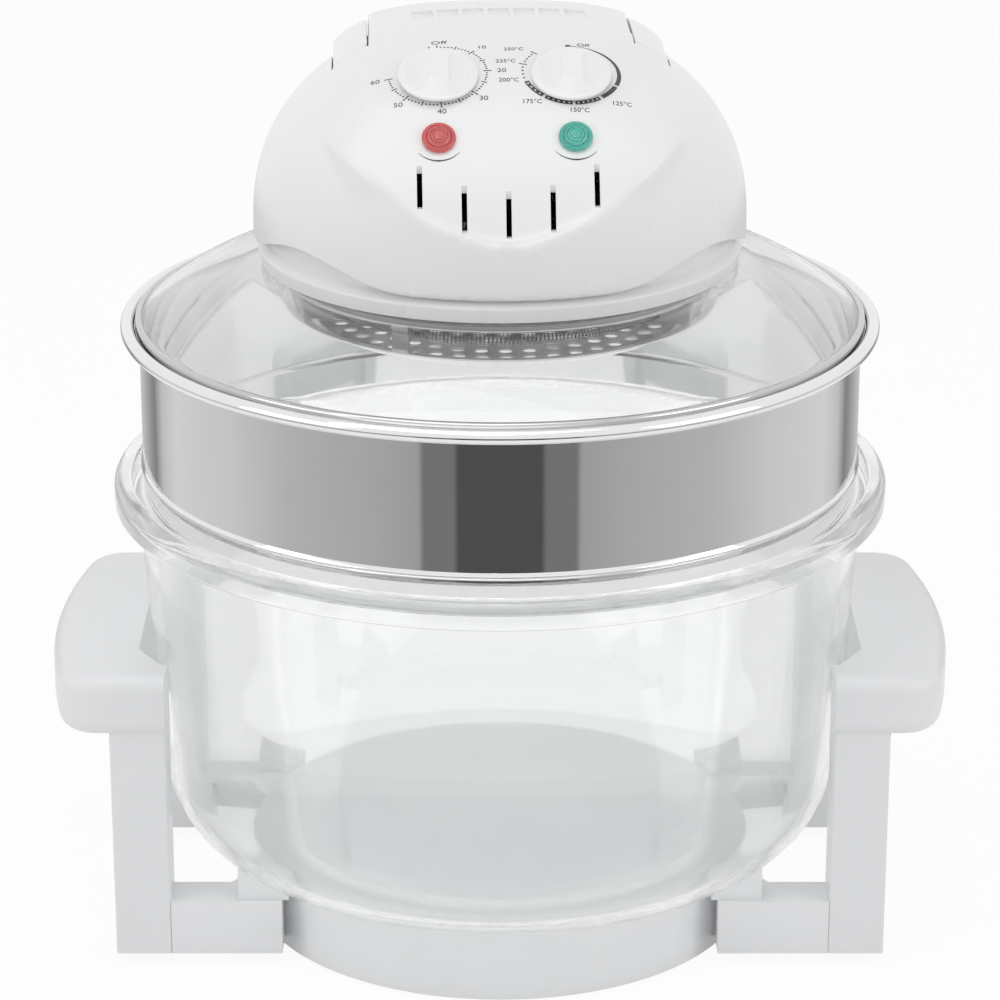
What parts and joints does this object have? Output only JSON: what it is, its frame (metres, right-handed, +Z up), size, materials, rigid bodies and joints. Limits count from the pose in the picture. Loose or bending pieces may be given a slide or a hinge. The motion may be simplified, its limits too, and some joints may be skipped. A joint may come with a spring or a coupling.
{
  "type": "halogen oven",
  "caption": "Countertop halogen oven: glass bowl in a white stand, steel extender ring, and a lift-off glass lid with heater head, two knobs, lamps and a folding carry handle.",
  "frame": {"origin": "centre of the oven's bounding box at the floor, on the bowl's axis", "axes": "+Z up, control panel towards -Y, side handles along X"},
  "size_m": [0.393, 0.3366, 0.4049],
  "materials": {
    "stand_plastic": "smooth white moulding",
    "shell_plastic": "smooth white moulding",
    "knob_plastic": "smooth white",
    "bowl_glass": "clear",
    "lid_glass": "clear",
    "ring_steel": "mirror polished",
    "rim_steel": "rolled edge",
    "red_lens": "translucent red",
    "green_lens": "translucent green",
    "black_plastic": "satin black",
    "ceramic": "unglazed white",
    "tube_glass": "clear quartz over a coil",
    "sheet_metal": "plated sheet",
    "reflector_metal": "bright",
    "guard_metal": "plated perforated sheet",
    "fan_metal": "plain",
    "motor_steel": "laminated core",
    "screw_steel": "zinc plated",
    "seal_rubber": "grey silicone",
    "foot_rubber": "soft grey"
  },
  "bodies": {
    "stand": {"stand_base": "stand_plastic", "left_side_frame": "stand_plastic", "right_side_frame": "stand_plastic", "stand_screws": "screw_steel", "rubber_feet": "foot_rubber", "bowl_rest_pads": "stand_plastic"},
    "bowl": {"glass_bowl": "bowl_glass"},
    "ring": {"extender_ring": "ring_steel"},
    "lid": {"lid_glass": "lid_glass", "lid_rim": "rim_steel", "glass_gaskets": "seal_rubber", "skirt_ring": "shell_plastic", "upper_housing": "shell_plastic", "power_lamp_lens": "red_lens", "heat_lamp_lens": "green_lens", "lamp_holders": "black_plastic", "timer_body": "sheet_metal", "thermostat_body": "ceramic", "thermostat_bulb": "sheet_metal", "fan_motor": "motor_steel", "motor_bracket": "sheet_metal", "heat_shield": "sheet_metal", "reflector_pan": "reflector_metal", "halogen_tube": "tube_glass", "tube_sockets": "ceramic", "tube_clips": "ceramic", "heater_guard": "guard_metal", "guard_brackets": "sheet_metal", "guard_screws": "screw_steel", "head_screws": "screw_steel", "safety_switch": "black_plastic", "terminal_block": "ceramic", "cord_inlet": "black_plastic", "handle_pins": "screw_steel"},
    "handle": {"carry_handle": "shell_plastic"},
    "timer_dial": {"timer_knob": "knob_plastic", "timer_shaft": "sheet_metal"},
    "thermostat_dial": {"thermostat_knob": "knob_plastic", "thermostat_shaft": "sheet_metal"},
    "fan": {"motor_shaft": "sheet_metal", "cooling_fan": "fan_metal", "convection_fan": "fan_metal", "fan_nut": "screw_steel"},
    "plunger": {"switch_plunger": "black_plastic"}
  },
  "joints": [
    {"name": "bowl_lift", "type": "slide", "parent": "stand", "child": "bowl", "axis": [0, 0, 1], "range_m": [0, 0.14]},
    {"name": "ring_lift", "type": "slide", "parent": "bowl", "child": "ring", "axis": [0, 0, 1], "range_m": [0, 0.05]},
    {"name": "lid_lift", "type": "slide", "parent": "ring", "child": "lid", "axis": [0, 0, 1], "range_m": [0, 0.12]},
    {"name": "handle_hinge", "type": "hinge", "parent": "lid", "child": "handle", "pos_m": [0.00011, -0.003, 0.3902], "axis": [0.9993, 0.0375, 0], "range_deg": [0, 90]},
    {"name": "timer_turn", "type": "hinge", "parent": "lid", "child": "timer_dial", "pos_m": [-0.02533, -0.05299, 0.39204], "axis": [-0.0167, 0.4438, -0.8959], "range_deg": [0, 265]},
    {"name": "thermostat_turn", "type": "hinge", "parent": "lid", "child": "thermostat_dial", "pos_m": [0.02923, -0.05094, 0.39204], "axis": [-0.0167, 0.4438, -0.8959], "range_deg": [0, 310]},
    {"name": "fan_spin", "type": "hinge", "parent": "lid", "child": "fan", "pos_m": [0, 0, 0.3217], "axis": [0, 0, 1], "continuous": true},
    {"name": "plunger_slide", "type": "slide", "parent": "lid", "child": "plunger", "axis": [0, 0, 1], "range_m": [0, 0.002]}
  ],
  "couplings": [
    {"joint": "plunger_slide", "follows": "handle_hinge", "m_per_rad": 0.001273}
  ]
}
